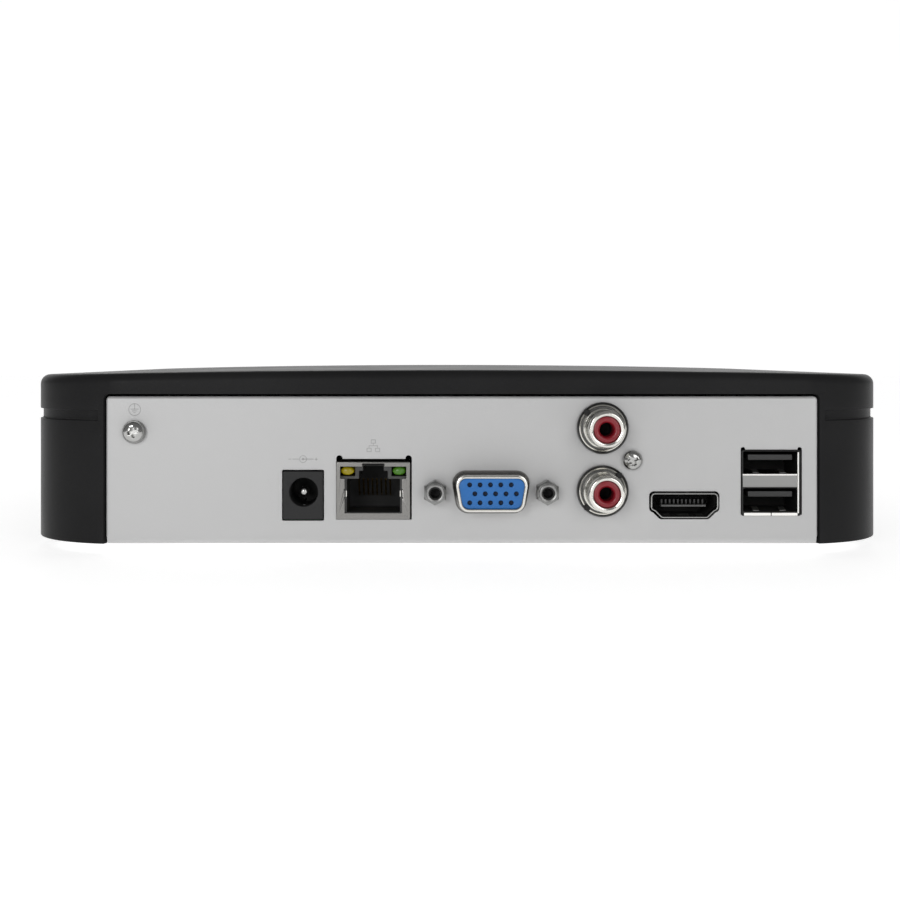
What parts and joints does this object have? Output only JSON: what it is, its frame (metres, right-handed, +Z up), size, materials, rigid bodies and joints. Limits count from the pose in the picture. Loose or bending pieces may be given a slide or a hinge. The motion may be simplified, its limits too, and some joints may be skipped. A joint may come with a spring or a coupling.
{
  "type": "dvr recorder",
  "caption": "Slim desktop video recorder with a black rounded cover, a grey steel socket panel, a main board and a hard disk drive inside.",
  "frame": {"origin": "centre of the whole object in plan, on the surface that the four feet stand on", "axes": "+Z up, -Y out of the socket panel at the rear, +Y towards the front, +X to the right as seen facing the socket panel"},
  "size_m": [0.198, 0.2116, 0.0415],
  "materials": {
    "cover_black": "satin black moulding with a fine even grain",
    "panel_grey": "fine-textured silver-grey coating on sheet steel",
    "plated_metal": "bright nickel plating",
    "screw_metal": "bright zinc-plated steel",
    "socket_black": "fine matt moulding",
    "video_blue": "smooth satin moulding",
    "audio_red": "smooth moulding",
    "lamp_yellow": "tinted indicator lens",
    "lamp_green": "tinted indicator lens",
    "window_clear": "frosted light window",
    "board_green": "solder-resist coating",
    "cast_metal": "cast and machined",
    "disk_mirror": "polished",
    "foot_rubber": "matt",
    "plug_white": "smooth moulding",
    "cable_red": "smooth sheath",
    "cable_black": "smooth sheath"
  },
  "bodies": {
    "base": {"base_chassis": "panel_grey", "panel_screw": "screw_metal", "power_inlet_housing": "socket_black", "power_inlet_pin": "plated_metal", "network_shield": "plated_metal", "network_insert": "socket_black", "network_lamp_left": "lamp_yellow", "network_lamp_right": "lamp_green", "video_shell": "plated_metal", "video_insulator": "video_blue", "video_jack_screw_left": "plated_metal", "video_jack_screw_right": "plated_metal", "audio_housing": "socket_black", "audio_barrel_upper": "plated_metal", "audio_barrel_lower": "plated_metal", "audio_insulator_upper": "audio_red", "audio_insulator_lower": "audio_red", "digital_video_shell": "plated_metal", "digital_video_tongue": "socket_black", "usb_shell": "plated_metal", "usb_tongue_upper": "socket_black", "usb_tongue_lower": "socket_black", "main_board": "board_green", "processor": "socket_black", "heat_sink": "cast_metal", "capacitor": "socket_black", "coin_cell_holder": "socket_black", "coin_cell": "screw_metal", "buzzer": "socket_black", "drive_data_socket": "socket_black", "drive_power_socket": "plug_white", "drive_data_cable": "cable_red", "drive_power_cable": "cable_black", "drive_base": "cast_metal", "drive_lid": "cast_metal", "drive_board": "board_green", "indicator_board": "board_green", "indicator_lead": "plug_white", "rubber_foot_1": "foot_rubber", "rubber_foot_2": "foot_rubber", "rubber_foot_3": "foot_rubber", "rubber_foot_4": "foot_rubber", "board_screw_1": "screw_metal", "board_screw_2": "screw_metal", "board_screw_3": "screw_metal", "board_screw_4": "screw_metal", "drive_screw_1": "screw_metal", "drive_screw_2": "screw_metal", "drive_screw_3": "screw_metal", "drive_screw_4": "screw_metal", "cover_screw_1": "screw_metal", "cover_screw_2": "screw_metal", "cover_screw_3": "screw_metal", "cover_screw_4": "screw_metal"},
    "cover": {"top_cover": "cover_black", "indicator_window": "window_clear"},
    "platters": {"drive_platters": "disk_mirror"},
    "arm": {"drive_arm": "cast_metal"},
    "earth_washer": {"earth_washer": "screw_metal"},
    "earth_screw": {"earth_screw": "screw_metal"}
  },
  "joints": [
    {"name": "cover_lift", "type": "slide", "parent": "base", "child": "cover", "axis": [0, 0, 1], "range_m": [0, 0.06]},
    {"name": "platter_spin", "type": "hinge", "parent": "base", "child": "platters", "pos_m": [0.0342, 0.0458, 0.02], "axis": [0, 0, 1], "continuous": true},
    {"name": "arm_swing", "type": "hinge", "parent": "base", "child": "arm", "pos_m": [-0.022, 0.053, 0.02], "axis": [0, 0, 1], "range_deg": [0, 32]},
    {"name": "earth_washer_slide", "type": "slide", "parent": "base", "child": "earth_washer", "axis": [0, -1, 0], "range_m": [0, 0.0028]},
    {"name": "earth_screw_turn", "type": "hinge", "parent": "earth_washer", "child": "earth_screw", "pos_m": [-0.0726, -0.09625, 0.0276], "axis": [0, -1, 0], "range_deg": [0, 1440]}
  ],
  "couplings": [
    {"joint": "earth_screw_turn", "follows": "earth_washer_slide", "rad_per_m": 8976}
  ]
}
